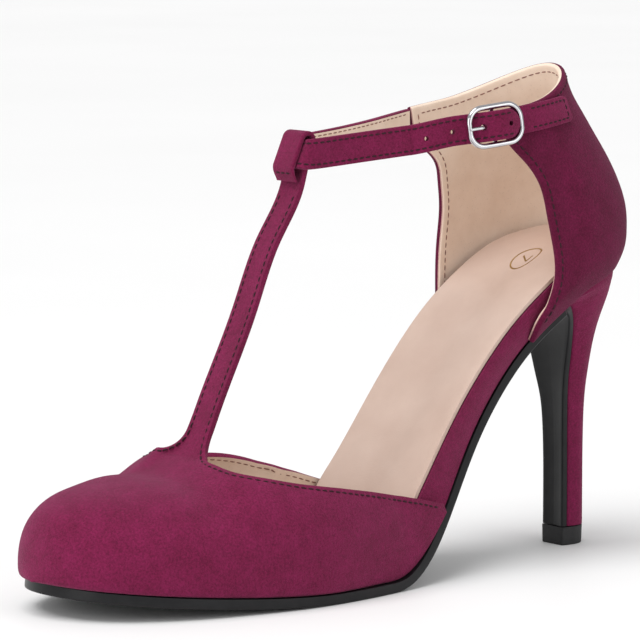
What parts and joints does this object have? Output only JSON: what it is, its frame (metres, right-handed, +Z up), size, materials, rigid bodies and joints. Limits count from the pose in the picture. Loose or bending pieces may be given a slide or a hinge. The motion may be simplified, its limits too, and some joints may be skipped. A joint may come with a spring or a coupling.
{
  "type": "t strap high heel shoe",
  "caption": "Suede T strap court shoe with a round toe, open waist, closed heel cup, slim high heel and an ankle strap with a side buckle",
  "frame": {"origin": "on the floor plane, under the middle of the shoe's box", "axes": "+Z up, toe along -Y, heel along +Y, outer side with the buckle along +X"},
  "size_m": [0.0766, 0.2156, 0.1476],
  "materials": {
    "outsole": "satin black sole, smooth",
    "heel_top_piece": "matt black",
    "heel": "moulded heel covered in burgundy suede",
    "insole_board": "board wrapped in burgundy suede",
    "sock": "smooth padded sock, pinkish beige",
    "vamp": "burgundy suede, beige lining inside",
    "counter": "burgundy suede, beige lining inside",
    "ankle_strap": "burgundy suede, beige lining inside",
    "buckle_tab": "burgundy suede",
    "buckle_frame": "polished",
    "buckle_prong": "polished"
  },
  "bodies": {
    "root": {"outsole": "outsole", "heel_top_piece": "heel_top_piece", "heel": "heel", "insole_board": "insole_board", "sock": "sock", "vamp": "vamp", "counter": "counter", "ankle_strap": "ankle_strap", "buckle_tab": "buckle_tab", "buckle_frame": "buckle_frame", "buckle_prong": "buckle_prong"}
  },
  "joints": []
}
